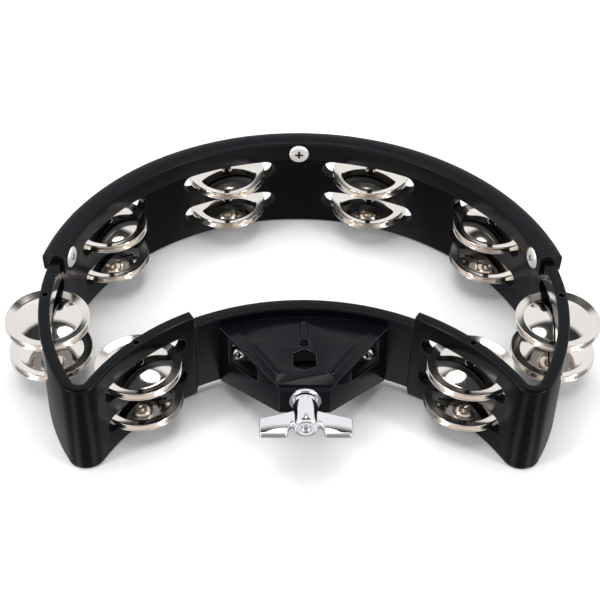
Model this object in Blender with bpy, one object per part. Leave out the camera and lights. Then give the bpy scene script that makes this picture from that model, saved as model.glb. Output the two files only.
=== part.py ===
"""Half-moon tambourine with a rod clamp.

A crescent-shaped moulded rim carries sixteen pairs of jingles on eight upright pins, a striking strip
capped over the rim's long back edge, and a pressed bracket with a wing screw that grips a stand rod.

Frame of reference: +Z up, the rim stands on z = 0, the player's side (bracket and wing screw) is -Y,
and the long back arc bulges towards +Y. The part is laid out about the centre of its back arc and then
moved so that the origin is the middle of its footprint. All constants are in millimetres.
"""
import math

import bmesh
import bpy
from mathutils import Matrix, Vector

MM = 0.001

# Rim: a closed wall that follows a long back arc, two round horns and a shallower front arc.
BACK_R = 127.0            # outer face of the back arc, which sets the layout's centre
FRONT_R = 105.4           # player's face of the front arc
FRONT_CENTRE_Y = -109.0
HORN_R = 9.1              # outer face of each horn
WALL = 5.6
HEIGHT = 50.8
EDGE = 0.9                # softened rim edges
SADDLE_HALF = 29.5        # degrees of the front arc on each side that carry the bracket
SADDLE_DROP = 5.1         # how far the saddle stops short of the rim's top and bottom
SADDLE_PROUD = 1.0

# Jingle stations, in degrees from the +Y direction of their own arc.
BACK_STATIONS = {"left": -90.3, "mid_left": -54.4, "back_left": -18.5,
                 "back_right": 18.5, "mid_right": 54.4, "right": 90.3}
FRONT_STATIONS = {"front_left": -46.3, "front_right": 46.3}
SLOT_HALF = 25.8
SLOT_HIGH = 10.1
SLOT_FLOORS = {"low": 10.6, "high": 31.0}
PIN_R = 1.2
PIN_HOLE_R = 1.55
PIN_FOOT = 5.3
PIN_HEAD = 49.2

# Jingle: a thin plate with a dished bowl, a flange that leans back the other way, and a centre hole.
JINGLE_R = 20.65
JINGLE_HOLE_R = 2.5
BOWL_R = 15.9
BOWL_DEEP = 2.7
FLANGE_LEAN = 1.25
PLATE = 0.7
GAP = 0.3
SIDE_LEAN = 0.9           # the two end pairs sit this far forward on their pins

# Striking strip: a channel over the top edge of the back arc.
STRIP_HALF = 78.5         # degrees each side of +Y
STRIP_STEP = 5.2
STRIP_PROFILE = [(130.8, 44.2), (131.1, 52.5), (130.2, 53.8), (127.4, 54.3), (123.6, 54.0),
                 (120.8, 53.4), (119.7, 52.3), (119.7, 42.6), (121.1, 42.6), (121.1, 51.3),
                 (128.7, 51.3), (128.7, 44.2)]
STRIP_SCREW_ANGLES = (-74.6, 0.0, 74.6)
STRIP_SCREW_Z = 47.2
STRIP_SHANK_R = 1.75
STRIP_HEAD_R = 5.3

# Bracket: one pressing with a fan-shaped top, a narrow front, tapering cheeks and two rear tabs.
PLATE_TOP = 40.8
PRESS = 1.8
SEAT_R = FRONT_R - SADDLE_PROUD - 0.4
FAN_HALF = 40.4
FRONT_HALF = 11.8
FRONT_Y = -54.5
FOLD_R = 3.0
CHEEK_REAR_Z = 5.2
CHEEK_FRONT_Z = 25.2
TAB_INNER_X = 25.5
ROD_HALF = 5.5            # half the distance across the flats of the rod hole
ROD_REAR_Y = -27.8
ROD_FRONT_Y = -42.6
GUIDE_Z = 26.6
BRACKET_SCREW_ANGLE = 18.5
MID_Z = 25.4

# Wing screw and its washer and nut.
SCREW_Z = 34.0
STEM_R = 2.9
STEM_TIP_R = 2.2
STEM_TIP_Y = -39.6
STEM_BACK_Y = -66.0
BOSS_R = 5.9
BOSS_REAR_Y = -56.9
BOSS_FRONT_Y = -73.8
WING_HALF = 21.2
WING_THICK = 3.0
WING_REACH = 20.8         # ear tips, measured from the boss's rear face

# Middle of the footprint, from the tips of the ears to the back of the rearmost jingles.
REARMOST_Y = (BACK_R - WALL / 2) * math.cos(math.radians(BACK_STATIONS["back_right"])) + JINGLE_R
MIDDLE_Y = (REARMOST_Y + BOSS_REAR_Y - WING_REACH) / 2


# ---------------------------------------------------------------- small helpers

def material(name, colour, roughness, metallic=0.0):
    made = bpy.data.materials.new(name)
    made.use_nodes = True
    shader = made.node_tree.nodes["Principled BSDF"]
    shader.inputs["Base Color"].default_value = (*colour, 1.0)
    shader.inputs["Roughness"].default_value = roughness
    shader.inputs["Metallic"].default_value = metallic
    made.diffuse_color = (*colour, 1.0)
    return made


def mesh_from(bm, name, crease=35.0):
    """Turn a bmesh in millimetres into a smooth-shaded mesh in metres."""
    bmesh.ops.scale(bm, vec=(MM, MM, MM), verts=bm.verts)
    bmesh.ops.recalc_face_normals(bm, faces=bm.faces)
    mesh = bpy.data.meshes.new(name)
    bm.to_mesh(mesh)
    bm.free()
    mesh.shade_smooth()
    mesh.set_sharp_from_angle(angle=math.radians(crease))
    return mesh


def place(name, mesh, made, at=(0, 0, 0), turn=None):
    obj = bpy.data.objects.new(name, mesh)
    bpy.context.scene.collection.objects.link(obj)
    if not mesh.materials:
        mesh.materials.append(made)
    obj.matrix_world = Matrix.Translation(Vector(at) * MM) @ (turn or Matrix.Identity(4))
    return obj


def cutter(name, bm):
    obj = bpy.data.objects.new(name, mesh_from(bm, name))
    bpy.context.scene.collection.objects.link(obj)
    obj.hide_render = True
    obj.display_type = "WIRE"
    return obj


def boolean(obj, tool, operation="DIFFERENCE"):
    step = obj.modifiers.new(f"{operation.lower()} {tool.name}", "BOOLEAN")
    step.operation = operation
    step.solver = "EXACT"
    step.object = tool


def arc(radius, start, stop, steps, centre=(0.0, 0.0)):
    """Points on an arc; angles in degrees, counter-clockwise from +X."""
    out = []
    for i in range(steps + 1):
        a = math.radians(start + (stop - start) * i / steps)
        out.append((centre[0] + radius * math.cos(a), centre[1] + radius * math.sin(a)))
    return out


def prism(bm, outline, low, high):
    """Extrude a plan outline from one height to another."""
    loft(bm, [[(x, y, z) for x, y in outline] for z in (low, high)], closed=False)


def loft(bm, rings, closed):
    """Skin a row of equal rings of points; an open row is capped at both ends."""
    rows = [[bm.verts.new(p) for p in ring] for ring in rings]
    count = len(rows[0])
    for i in range(len(rows) if closed else len(rows) - 1):
        here, there = rows[i], rows[(i + 1) % len(rows)]
        for k in range(count):
            n = (k + 1) % count
            bm.faces.new((here[k], here[n], there[n], there[k]))
    if not closed:
        bm.faces.new(rows[0])
        bm.faces.new(list(reversed(rows[-1])))


def lathe(bm, profile, segments, matrix=Matrix.Identity(4)):
    """Spin a profile of (radius, height) points about Z; a profile off the axis closes on itself."""
    turned = bmesh.new()
    verts = [turned.verts.new((r, 0.0, z)) for r, z in profile]
    edges = [turned.edges.new((verts[i], verts[i + 1])) for i in range(len(verts) - 1)]
    if profile[0][0] > 0.0:
        edges.append(turned.edges.new((verts[-1], verts[0])))
    bmesh.ops.spin(turned, geom=verts + edges, cent=(0, 0, 0), axis=(0, 0, 1),
                   angle=math.tau, steps=segments, use_merge=True)
    bmesh.ops.remove_doubles(turned, verts=turned.verts, dist=0.0001)
    bmesh.ops.transform(turned, matrix=matrix, verts=turned.verts)
    scratch = bpy.data.meshes.new("lathe")
    turned.to_mesh(scratch)
    turned.free()
    bm.from_mesh(scratch)
    bpy.data.meshes.remove(scratch)


def facing(direction):
    """Rotation that stands the Z axis along a direction."""
    return Vector(direction).to_track_quat("Z", "Y").to_matrix().to_4x4()


def along(direction, at):
    return Matrix.Translation(at) @ facing(direction)


def rod(bm, radius, length, segments, matrix):
    """A plain cylinder whose base sits at the matrix origin."""
    bmesh.ops.create_cone(bm, cap_ends=True, segments=segments, radius1=radius, radius2=radius,
                          depth=length, matrix=matrix @ Matrix.Translation((0, 0, length / 2)))


def back_point(angle, radius, z=0.0):
    a = math.radians(angle)
    return Vector((radius * math.sin(a), radius * math.cos(a), z))


def front_point(angle, radius, z=0.0):
    a = math.radians(angle)
    return Vector((radius * math.sin(a), FRONT_CENTRE_Y + radius * math.cos(a), z))


# ---------------------------------------------------------------- the rim

def horn_centre():
    a, b = BACK_R - HORN_R, FRONT_R + HORN_R
    y = (a * a - b * b + FRONT_CENTRE_Y ** 2) / (2 * FRONT_CENTRE_Y)
    return math.sqrt(a * a - y * y), y


def rim_path():
    """Closed path of (outer point, inner point, in the saddle) around the crescent."""
    cx, cy = horn_centre()
    back = math.degrees(math.atan2(cy, cx))
    front = math.degrees(math.atan2(cy - FRONT_CENTRE_Y, cx))
    path = []
    for outer, inner in zip(arc(BACK_R, back, 180 - back, 50), arc(BACK_R - WALL, back, 180 - back, 50)):
        path.append((outer, inner, False))
    for outer, inner in zip(arc(HORN_R, 180 - back, 360 - front, 7, (-cx, cy)),
                            arc(HORN_R - WALL, 180 - back, 360 - front, 7, (-cx, cy))):
        path.append((outer, inner, False))
    angles = [180 - front - (90 - front - SADDLE_HALF) * i / 8 for i in range(9)]
    turns = [(a, False) for a in angles[:-1]] + [(90 + SADDLE_HALF + 0.15, False)]
    turns += [(90 + SADDLE_HALF - 0.15 - (2 * SADDLE_HALF - 0.3) * i / 14, True) for i in range(15)]
    turns += [(90 - SADDLE_HALF - 0.15, False)] + [(180 - a, False) for a in reversed(angles[:-1])]
    for a, saddle in turns:
        proud = SADDLE_PROUD if saddle else 0.0
        path.append((arc(FRONT_R - proud, a, a, 1, (0, FRONT_CENTRE_Y))[0],
                     arc(FRONT_R + WALL, a, a, 1, (0, FRONT_CENTRE_Y))[0], saddle))
    for outer, inner in zip(arc(HORN_R, 180 + front, 360 + back, 7, (cx, cy)),
                            arc(HORN_R - WALL, 180 + front, 360 + back, 7, (cx, cy))):
        path.append((outer, inner, False))
    clean = [path[0]]
    for step in path[1:]:
        if math.dist(step[0], clean[-1][0]) > 0.05:
            clean.append(step)
    if math.dist(clean[0][0], clean[-1][0]) < 0.05:
        clean.pop()
    return clean


def build_frame(made):
    rings = []
    for outer, inner, saddle in rim_path():
        low = SADDLE_DROP if saddle else 0.0
        high = HEIGHT - SADDLE_DROP if saddle else HEIGHT
        o, i = Vector(outer), Vector(inner)
        e = (i - o).normalized() * EDGE
        rings.append([(*o, low + EDGE), (*(o + e), low), (*(i - e), low), (*i, low + EDGE),
                      (*i, high - EDGE), (*(i - e), high), (*(o + e), high), (*o, high - EDGE)])
    bm = bmesh.new()
    loft(bm, rings, closed=True)
    frame = place("frame", mesh_from(bm, "frame"), made)

    # Jingle slots: two rows of round-ended openings straight through the wall.
    bm = bmesh.new()
    ends = SLOT_HIGH / 2
    outline = arc(ends, -90, 90, 5, (SLOT_HALF - ends, 0)) + arc(ends, 90, 270, 5, (ends - SLOT_HALF, 0))
    for stations, point, radius in ((BACK_STATIONS, back_point, BACK_R - WALL / 2),
                                    (FRONT_STATIONS, front_point, FRONT_R + WALL / 2)):
        for angle in stations.values():
            out = (point(angle, 1.0) - point(angle, 0.0)).normalized()
            side = Vector((out.y, -out.x, 0))
            for floor in SLOT_FLOORS.values():
                centre = point(angle, radius, floor + SLOT_HIGH / 2)
                rings = [[centre + side * u + Vector((0, 0, v)) + out * d for u, v in outline]
                         for d in (-12.0, 12.0)]
                loft(bm, rings, closed=False)
    boolean(frame, cutter("slot_cutter", bm))

    # Upright bores for the jingle pins, and cross holes for the strip and bracket screws.
    bm = bmesh.new()
    for centre in pin_centres().values():
        rod(bm, PIN_HOLE_R, HEIGHT, 10, Matrix.Translation((centre.x, centre.y, PIN_FOOT - GAP)))
    for angle in STRIP_SCREW_ANGLES:
        rod(bm, STRIP_SHANK_R + GAP, 12.0, 10,
            along(back_point(angle, 1), back_point(angle, 118.0, STRIP_SCREW_Z)))
    for angle in (-BRACKET_SCREW_ANGLE, BRACKET_SCREW_ANGLE):
        out = front_point(angle, 1.0) - front_point(angle, 0.0)
        rod(bm, 2.5 + GAP, 14.0, 12, along(out, front_point(angle, FRONT_R - 4.0, MID_Z)))
    boolean(frame, cutter("bore_cutter", bm))
    return frame


def pin_centres():
    centres = {name: back_point(a, BACK_R - WALL / 2) for name, a in BACK_STATIONS.items()}
    centres.update({name: front_point(a, FRONT_R + WALL / 2) for name, a in FRONT_STATIONS.items()})
    return centres


# ---------------------------------------------------------------- jingles and pins

def build_jingles(made, pin_made):
    """Each slot holds a pair of domed plates: the lower one domes down and the upper one domes up."""
    skin = [(r, BOWL_DEEP * (1 - (r / BOWL_R) ** 2)) for r in (JINGLE_HOLE_R, 9.5, BOWL_R)] + [(JINGLE_R, FLANGE_LEAN)]
    profile = skin + [(r, z + PLATE) for r, z in reversed(skin)]
    bm = bmesh.new()
    lathe(bm, profile, 16)
    plate = mesh_from(bm, "jingle", crease=50.0)
    plate.materials.append(made)
    bm = bmesh.new()
    rod(bm, PIN_R, PIN_HEAD - PIN_FOOT, 8, Matrix.Identity(4))
    pin = mesh_from(bm, "pin", crease=50.0)
    pin.materials.append(pin_made)
    tall = PLATE + BOWL_DEEP
    for name, centre in pin_centres().items():
        place(f"pin_{name}", pin, pin_made, (centre.x, centre.y, PIN_FOOT))
        y = centre.y - (SIDE_LEAN if name in ("left", "right") else 0.0)
        for row, floor in SLOT_FLOORS.items():
            place(f"jingle_{name}_{row}_over", plate, made, (centre.x, y, floor + 2 * GAP + tall))
            place(f"jingle_{name}_{row}_under", plate, made, (centre.x, y, floor + GAP + tall),
                  Matrix.Rotation(math.pi, 4, "X"))


# ---------------------------------------------------------------- striking strip

def build_strip(made, screw_made):
    steps = round(2 * STRIP_HALF / STRIP_STEP)
    rings = [[back_point(-STRIP_HALF + 2 * STRIP_HALF * i / steps, r, z) for r, z in STRIP_PROFILE]
             for i in range(steps + 1)]
    bm = bmesh.new()
    loft(bm, rings, closed=False)
    strip = place("striking_strip", mesh_from(bm, "striking_strip"), made)
    bm = bmesh.new()
    for angle in STRIP_SCREW_ANGLES:
        rod(bm, STRIP_SHANK_R + GAP, 12.0, 10,
            along(back_point(angle, 1), back_point(angle, 118.0, STRIP_SCREW_Z)))
    boolean(strip, cutter("strip_hole_cutter", bm))

    # Pan-headed screws, heads on the inside of the rim, tips in the strip's outer leg.
    bm = bmesh.new()
    profile = [(0.0, 1.6), (3.4, 1.4), (4.8, 0.9), (STRIP_HEAD_R, 0.0), (STRIP_SHANK_R, 0.0),
               (STRIP_SHANK_R, -9.9), (0.0, -9.9)]
    lathe(bm, profile, 14)
    screw = mesh_from(bm, "strip_screw")
    for name, angle in zip(("left", "centre", "right"), STRIP_SCREW_ANGLES):
        place(f"strip_screw_{name}", screw, screw_made, back_point(angle, 119.4, STRIP_SCREW_Z),
              facing(-back_point(angle, 1)))


# ---------------------------------------------------------------- bracket

def seat_arc(half_x, radius, steps, flip=False):
    """Points along the face that sits on the rim's saddle, from -half_x to half_x."""
    half = math.asin(half_x / radius)
    out = []
    for i in range(steps + 1):
        a = -half + 2 * half * i / steps
        out.append((radius * math.sin(a), FRONT_CENTRE_Y + radius * math.cos(a)))
    return list(reversed(out)) if flip else out


def rod_hole():
    """Plan of the rod hole: a hexagon, stretched front to back, with a vee at each end."""
    lean = ROD_HALF * math.tan(math.radians(30))
    return [(0, ROD_FRONT_Y), (ROD_HALF, ROD_FRONT_Y + lean), (ROD_HALF, ROD_REAR_Y - lean),
            (0, ROD_REAR_Y), (-ROD_HALF, ROD_REAR_Y - lean), (-ROD_HALF, ROD_FRONT_Y + lean)]


def bead(bm, start, stop, half, low, high):
    """A raised stiffening bead with round ends and sloping flanks, sunk slightly into the plate."""
    a, b = Vector(start), Vector(stop)
    heading = math.degrees(math.atan2((b - a).y, (b - a).x))
    rings = []
    for width, z in ((half, low), (half * 0.45, high)):
        outline = arc(width, heading - 90, heading + 90, 4, b[:]) + arc(width, heading + 90, heading + 270, 4, a[:])
        rings.append([(x, y, z) for x, y in outline])
    loft(bm, rings, closed=False)


def build_bracket(made, guide_made):
    corner_y = FRONT_CENTRE_Y + math.sqrt(SEAT_R ** 2 - FAN_HALF ** 2)
    # The pressing's outside: top fan, front and cheeks, with a folded front edge.
    bm = bmesh.new()
    fan = [(FRONT_HALF, FRONT_Y), *reversed(seat_arc(FAN_HALF, SEAT_R, 10)), (-FRONT_HALF, FRONT_Y)]
    prism(bm, fan, CHEEK_REAR_Z, PLATE_TOP)
    bm.edges.ensure_lookup_table()
    fold = [e for e in bm.edges
            if all(abs(v.co.y - FRONT_Y) < 0.01 and abs(v.co.z - PLATE_TOP) < 0.01 for v in e.verts)]
    bmesh.ops.bevel(bm, geom=fold, offset=FOLD_R, offset_type="OFFSET", segments=4, profile=0.5,
                    affect="EDGES")
    shell = place("bracket", mesh_from(bm, "bracket"), made)

    # Inside of the pressing, open below and, between the rear tabs, towards the rim.
    bm = bmesh.new()
    way = Vector((FAN_HALF - FRONT_HALF, corner_y - FRONT_Y)).normalized()
    inset = Vector((-way.y, way.x)) * PRESS
    tab_r = SEAT_R - PRESS
    front_x = FRONT_HALF + inset.x + (FRONT_Y + PRESS - FRONT_Y - inset.y) * way.x / way.y
    tab = []
    first, last = math.asin(TAB_INNER_X / tab_r), math.asin((FAN_HALF - 2.4) / tab_r)
    for i in range(6):
        a = last + (first - last) * i / 5
        tab.append((tab_r * math.sin(a), FRONT_CENTRE_Y + tab_r * math.cos(a)))
    right = [(front_x, FRONT_Y + PRESS), *tab, (TAB_INNER_X, 6.0)]
    left = [(-x, y) for x, y in reversed(right)]
    prism(bm, right + left, -5.0, PLATE_TOP - PRESS)
    boolean(shell, cutter("bracket_inside", bm))

    # The cheeks taper: low where they meet the rim, high at the front.
    bm = bmesh.new()
    slope = (CHEEK_FRONT_Z - CHEEK_REAR_Z) / (corner_y - FRONT_Y)
    taper = [(corner_y, CHEEK_REAR_Z - 4.0), (corner_y, CHEEK_REAR_Z),
             (FRONT_Y - 4.0, CHEEK_FRONT_Z + 4.0 * slope), (FRONT_Y - 4.0, CHEEK_REAR_Z - 4.0)]
    loft(bm, [[(x, y, z) for y, z in taper] for x in (-60.0, 60.0)], closed=False)
    boolean(shell, cutter("cheek_taper", bm))

    # Beads on the fan, then everything that is pierced.
    bm = bmesh.new()
    bead(bm, (0.0, -10.4), (0.0, -21.0), 2.4, PLATE_TOP - 0.6, PLATE_TOP + 1.1)
    for side in (-1, 1):
        bead(bm, (side * 22.4, -25.9), (side * 12.0, -43.2), 2.2, PLATE_TOP - 0.6, PLATE_TOP + 1.1)
    boolean(shell, cutter("bead_tool", bm), "UNION")
    bm = bmesh.new()
    prism(bm, rod_hole(), PLATE_TOP - 5.0, PLATE_TOP + 5.0)
    prism(bm, [(-2.2, -26.2), (2.2, -26.2), (2.2, -22.4), (-2.2, -22.4)], PLATE_TOP - 5.0, PLATE_TOP + 5.0)
    rod(bm, STEM_R + 0.5, 6.0, 16, along((0, 1, 0), (0, FRONT_Y - 2.0, SCREW_Z)))
    for angle in (-BRACKET_SCREW_ANGLE, BRACKET_SCREW_ANGLE):
        out = front_point(angle, 1.0) - front_point(angle, 0.0)
        rod(bm, 2.5 + GAP, 6.0, 12, along(out, front_point(angle, SEAT_R - 4.0, MID_Z)))
    # Openings in the rear of the cheeks, for a driver to reach the bracket screws.
    for side in (-1, 1):
        reach = Vector((side * way.y, -way.x)) * 7.0
        rings = []
        for d in (-1.0, 1.0):
            near = Vector((side * (FRONT_HALF + 0.84 * (FAN_HALF - FRONT_HALF)),
                           FRONT_Y + 0.84 * (corner_y - FRONT_Y))) + reach * d
            far = Vector((side * (FRONT_HALF + 0.36 * (FAN_HALF - FRONT_HALF)),
                          FRONT_Y + 0.36 * (corner_y - FRONT_Y))) + reach * d
            rings.append([(*near, 24.0), (*far, 30.5), (*far, PLATE_TOP - PRESS + 0.2),
                          (*near, PLATE_TOP - PRESS + 0.2)])
        loft(bm, rings, closed=False)
    boolean(shell, cutter("bracket_piercing", bm))

    # Lower rod guide: a flat plate between the cheeks, pierced in line with the top hole.
    bm = bmesh.new()
    plan = []
    for y in (FRONT_Y + PRESS + 0.4, -23.0):
        x = FRONT_HALF + inset.x + (y - FRONT_Y - inset.y) * way.x / way.y - 0.5
        plan.append((x, y))
    outline = [(-plan[0][0], plan[0][1]), plan[0], plan[1], (-plan[1][0], plan[1][1])]
    prism(bm, outline, GUIDE_Z, GUIDE_Z + PRESS)
    guide = place("rod_guide", mesh_from(bm, "rod_guide"), guide_made)
    bm = bmesh.new()
    prism(bm, rod_hole(), GUIDE_Z - 3.0, GUIDE_Z + PRESS + 3.0)
    boolean(guide, cutter("guide_hole", bm))


def build_bracket_fixings(screw_made, washer_made, nut_made):
    """Two screws with washers in front and nuts behind hold the bracket's tabs to the rim."""
    turned = []
    for name, profile, segments in (
            ("bracket_washer", [(2.9, 0.0), (4.9, 0.0), (4.9, 1.0), (2.9, 1.0)], 16),
            ("bracket_screw", [(0.0, 3.0), (2.4, 2.7), (3.8, 1.6), (4.2, 0.0), (2.5, 0.0), (2.5, -15.6),
                               (0.0, -15.6)], 14),
            ("bracket_nut", [(3.15, 0.0), (4.9, 0.0), (4.9, 3.6), (3.15, 3.6)], 6)):
        bm = bmesh.new()
        lathe(bm, profile, segments)
        turned.append(mesh_from(bm, name, crease=30.0))
    washer, screw, nut = turned
    face = SEAT_R - PRESS - GAP
    for name, angle in (("left", -BRACKET_SCREW_ANGLE), ("right", BRACKET_SCREW_ANGLE)):
        out = front_point(angle, 1.0) - front_point(angle, 0.0)
        place(f"bracket_washer_{name}", washer, washer_made, front_point(angle, face, MID_Z), facing(-out))
        place(f"bracket_screw_{name}", screw, screw_made, front_point(angle, face - 1.0 - GAP, MID_Z),
              facing(-out))
        place(f"bracket_nut_{name}", nut, nut_made, front_point(angle, FRONT_R + WALL + GAP, MID_Z),
              facing(out))


# ---------------------------------------------------------------- wing screw

def build_wing_screw(wing_made, stem_made, washer_made, nut_made):
    axis = Vector((0, 0, SCREW_Z))
    inward = along((0, 1, 0), axis)       # heights are positions along +Y

    bm = bmesh.new()
    lathe(bm, [(STEM_R + 0.5, FRONT_Y - 1.8), (7.35, FRONT_Y - 1.8), (7.35, FRONT_Y - 0.3),
               (STEM_R + 0.5, FRONT_Y - 0.3)], 24, inward)
    place("clamp_washer", mesh_from(bm, "clamp_washer"), washer_made)

    bm = bmesh.new()
    bore, rear = STEM_R + 0.75, FRONT_Y + PRESS + 0.3
    lathe(bm, [(bore, rear), (5.4, rear), (5.4, rear + 4.7), (bore, rear + 4.7)], 6, inward)
    place("clamp_nut", mesh_from(bm, "clamp_nut", crease=25.0), nut_made)

    bm = bmesh.new()
    lathe(bm, [(0.0, 0.0), (STEM_R, 0.0), (STEM_R, STEM_TIP_Y - 2.6 - STEM_BACK_Y),
               (STEM_TIP_R, STEM_TIP_Y - 1.9 - STEM_BACK_Y), (STEM_TIP_R, STEM_TIP_Y - STEM_BACK_Y),
               (0.0, STEM_TIP_Y - STEM_BACK_Y)], 16, along((0, 1, 0), (0, 0, 0)))
    place("clamp_stem", mesh_from(bm, "clamp_stem"), stem_made, (0, STEM_BACK_Y, SCREW_Z))

    # Wing: a round boss with two flat ears, bored for the stem; its origin is on the screw's axis.
    outward = along((0, -1, 0), (0, 0, 0))
    long = BOSS_REAR_Y - BOSS_FRONT_Y
    bm = bmesh.new()
    lathe(bm, [(0.0, 0.0), (BOSS_R - 0.5, 0.0), (BOSS_R, 0.6), (BOSS_R, long - 1.3),
               (BOSS_R - 0.9, long - 0.3), (2.2, long), (1.5, long - 0.8), (0.0, long - 0.8)], 24, outward)
    wing = place("clamp_wing", mesh_from(bm, "clamp_wing"), wing_made, (0, BOSS_REAR_Y, SCREW_Z))
    bm = bmesh.new()
    for side in (-1, 1):
        # Ear outline as (distance from the axis, distance out from the boss's rear face).
        ear = [(3.0, 6.6), (6.0, 6.4), (WING_HALF - 0.6, 10.9), (WING_HALF, 11.6), (WING_HALF, 20.2),
               (WING_HALF - 0.6, WING_REACH), (9.2, WING_REACH), (8.3, 20.2), (8.0, 17.4), (6.9, 15.4), (3.0, 14.6)]
        rings = [[(side * u, -v, z) for u, v in ear] for z in (-WING_THICK / 2, WING_THICK / 2)]
        loft(bm, rings, closed=False)
    ears = cutter("ear_tool", bm)
    ears.matrix_world = wing.matrix_world
    boolean(wing, ears, "UNION")
    bm = bmesh.new()
    rod(bm, STEM_R + GAP, BOSS_REAR_Y - STEM_BACK_Y + GAP + 1.0, 16, along((0, -1, 0), (0, 1.0, 0)))
    bore = cutter("wing_bore", bm)
    bore.matrix_world = wing.matrix_world
    boolean(wing, bore)


def main():
    for obj in list(bpy.data.objects):
        bpy.data.objects.remove(obj, do_unlink=True)
    moulded = material("black_moulding", (0.020, 0.021, 0.023), 0.32)
    strip = material("strip_matte_black", (0.035, 0.036, 0.038), 0.62)
    pressed = material("bracket_black_enamel", (0.045, 0.045, 0.046), 0.45)
    guide = material("guide_black_enamel", (0.040, 0.040, 0.041), 0.5)
    nickel = material("jingle_nickel", (0.78, 0.74, 0.69), 0.16, 1.0)
    pin = material("pin_steel", (0.45, 0.45, 0.46), 0.3, 1.0)
    screw = material("screw_nickel", (0.70, 0.70, 0.70), 0.22, 1.0)
    bright = material("bracket_screw_nickel", (0.68, 0.68, 0.69), 0.22, 1.0)
    washer = material("bracket_washer_nickel", (0.66, 0.66, 0.67), 0.25, 1.0)
    nut = material("bracket_nut_steel", (0.5, 0.5, 0.51), 0.35, 1.0)
    chrome = material("wing_chrome", (0.85, 0.85, 0.86), 0.08, 1.0)
    stem = material("stem_steel", (0.55, 0.55, 0.56), 0.3, 1.0)
    ring = material("clamp_washer_chrome", (0.82, 0.82, 0.83), 0.1, 1.0)
    clamp_nut = material("clamp_nut_steel", (0.48, 0.48, 0.49), 0.35, 1.0)
    build_frame(moulded)
    build_jingles(nickel, pin)
    build_strip(strip, screw)
    build_bracket(pressed, guide)
    build_bracket_fixings(bright, washer, nut)
    build_wing_screw(chrome, stem, ring, clamp_nut)
    for obj in bpy.data.objects:
        obj.matrix_world.translation.y -= MIDDLE_Y * MM


main()
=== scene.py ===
"""Looks for the half-moon tambourine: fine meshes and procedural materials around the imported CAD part.

Lengths are in millimetres in the part's layout, whose centre is the middle of the back arc; place() turns
them into metres in the part's frame.
"""
import math

import bmesh  # noqa: E402
import bpy  # noqa: E402
from mathutils import Matrix, Vector  # noqa: E402


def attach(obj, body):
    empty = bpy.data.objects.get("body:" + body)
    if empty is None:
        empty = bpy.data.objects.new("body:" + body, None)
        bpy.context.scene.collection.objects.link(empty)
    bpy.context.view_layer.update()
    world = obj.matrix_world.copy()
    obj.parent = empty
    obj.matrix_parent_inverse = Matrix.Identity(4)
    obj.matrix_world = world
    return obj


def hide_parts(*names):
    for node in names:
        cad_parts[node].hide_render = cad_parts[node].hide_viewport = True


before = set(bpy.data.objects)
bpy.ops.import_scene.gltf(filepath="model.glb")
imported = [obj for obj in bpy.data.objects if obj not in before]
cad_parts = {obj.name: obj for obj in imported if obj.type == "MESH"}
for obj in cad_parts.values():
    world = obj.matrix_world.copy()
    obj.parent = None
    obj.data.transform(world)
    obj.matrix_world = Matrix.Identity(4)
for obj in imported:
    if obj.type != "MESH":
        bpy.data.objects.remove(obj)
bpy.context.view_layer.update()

MM = 0.001
MIDDLE_Y = 30.366           # layout centre to part origin
GAP = 0.3                   # clearance between pieces that fit together

# Rim
BACK_R, FRONT_R, FRONT_CENTRE_Y, HORN_R = 127.0, 105.4, -109.0, 9.1
WALL, HEIGHT, EDGE = 5.6, 50.8, 1.0
SADDLE_HALF, SADDLE_DROP, SADDLE_PROUD = 29.5, 5.1, 1.0
BACK_STATIONS = {"left": -90.3, "mid_left": -54.4, "back_left": -18.5,
                 "back_right": 18.5, "mid_right": 54.4, "right": 90.3}
FRONT_STATIONS = {"front_left": -46.3, "front_right": 46.3}
SLOT_HALF, SLOT_HIGH = 25.8, 10.1
SLOT_FLOORS = {"low": 10.6, "high": 31.0}
PIN_R, PIN_HOLE_R, PIN_FOOT, PIN_HEAD = 1.2, 1.55, 5.3, 49.2

# Jingles
JINGLE_R, JINGLE_HOLE_R, BOWL_R, BOWL_DEEP, PLATE, LIP_R = 20.65, 2.5, 15.9, 2.7, 0.7, 0.34
FLANGE_LEAN = 1.25          # rise of the flange from the bowl to the lip
SIDE_LEAN = 0.9             # how far the two side stations' plates sit towards the player

# Striking strip
STRIP_HALF = 78.5
STRIP_SCREWS = {"left": -74.6, "centre": 0.0, "right": 74.6}
STRIP_SCREW_Z, STRIP_SHANK_R, STRIP_HEAD_R, STRIP_SEAT_R = 47.2, 1.75, 5.3, 119.4

# Bracket
PLATE_TOP, PRESS = 40.8, 1.8
SEAT_R = FRONT_R - SADDLE_PROUD - 0.4
FAN_HALF, FRONT_HALF, FRONT_Y, FOLD_R = 40.4, 11.8, -54.5, 3.0
CHEEK_REAR_Z, CHEEK_FRONT_Z, TAB_INNER_X = 5.2, 25.2, 25.5
ROD_HALF, ROD_REAR_Y, ROD_FRONT_Y, GUIDE_Z = 5.5, -27.8, -42.6, 26.6
BRACKET_SCREW_ANGLE, BRACKET_SCREW_R, MID_Z = 18.5, 2.5, 25.4

# Wing screw
SCREW_Z, STEM_R, STEM_TIP_R, STEM_TIP_Y, STEM_BACK_Y = 34.0, 2.9, 2.2, -39.6, -66.0
BOSS_R, BOSS_REAR_Y, BOSS_FRONT_Y = 5.9, -56.9, -73.8
WING_HALF, WING_THICK, WING_REACH = 21.2, 3.0, 20.8


# ---------------------------------------------------------------- mesh helpers

def mesh_from(bm, name, crease=40.0):
    bmesh.ops.scale(bm, vec=(MM, MM, MM), verts=bm.verts)
    bmesh.ops.recalc_face_normals(bm, faces=bm.faces)
    mesh = bpy.data.meshes.new(name)
    bm.to_mesh(mesh)
    bm.free()
    mesh.shade_smooth()
    mesh.set_sharp_from_angle(angle=math.radians(crease))
    return mesh


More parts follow.
